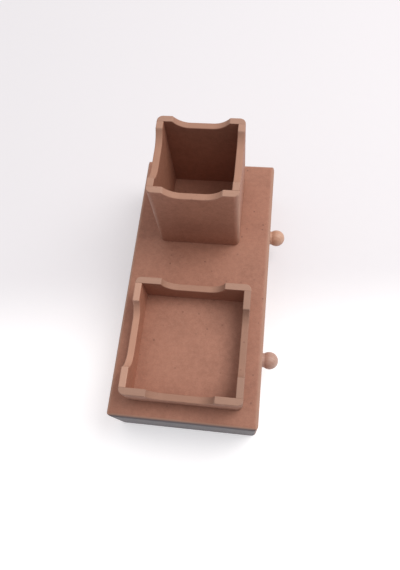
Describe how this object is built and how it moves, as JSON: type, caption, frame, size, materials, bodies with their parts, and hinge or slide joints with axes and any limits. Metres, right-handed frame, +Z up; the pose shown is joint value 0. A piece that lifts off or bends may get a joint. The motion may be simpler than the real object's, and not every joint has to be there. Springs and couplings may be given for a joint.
{
  "type": "hobby desk organizer",
  "caption": "Long low fibreboard drawer case carrying a tall square brush holder and a shallow square tray with scooped walls; the drawers slide out sideways on round wooden knobs.",
  "frame": {"origin": "centre of the case's underside, on the surface it stands on", "axes": "+X towards the knobs, the way the drawers open; +Y from the tray towards the brush holder; +Z up"},
  "size_m": [0.1407, 0.251, 0.142],
  "materials": {
    "case_board": "raw sanded fibreboard, matte",
    "drawer_board": "raw fibreboard, matte",
    "knob_wood": "turned and sanded pale wood, unvarnished",
    "screw_steel": "zinc-plated, satin"
  },
  "bodies": {
    "case": {"top_board": "case_board", "bottom_board": "case_board", "front_end_panel": "case_board", "rear_end_panel": "case_board", "left_side_panel": "case_board", "centre_divider": "case_board", "holder_front_wall": "case_board", "holder_rear_wall": "case_board", "holder_left_wall": "case_board", "holder_right_wall": "case_board", "tray_front_wall": "case_board", "tray_rear_wall": "case_board", "tray_left_wall": "case_board", "tray_right_wall": "case_board"},
    "front_drawer": {"front_drawer_face": "drawer_board", "front_drawer_outer_side": "drawer_board", "front_drawer_inner_side": "drawer_board", "front_drawer_back": "drawer_board", "front_drawer_bottom": "drawer_board", "front_drawer_knob": "knob_wood", "front_drawer_screw": "screw_steel"},
    "rear_drawer": {"rear_drawer_face": "drawer_board", "rear_drawer_outer_side": "drawer_board", "rear_drawer_inner_side": "drawer_board", "rear_drawer_back": "drawer_board", "rear_drawer_bottom": "drawer_board", "rear_drawer_knob": "knob_wood", "rear_drawer_screw": "screw_steel"}
  },
  "joints": [
    {"name": "front_drawer_slide", "type": "slide", "parent": "case", "child": "front_drawer", "axis": [1, 0, 0], "range_m": [0, 0.1]},
    {"name": "rear_drawer_slide", "type": "slide", "parent": "case", "child": "rear_drawer", "axis": [1, 0, 0], "range_m": [0, 0.1]}
  ]
}
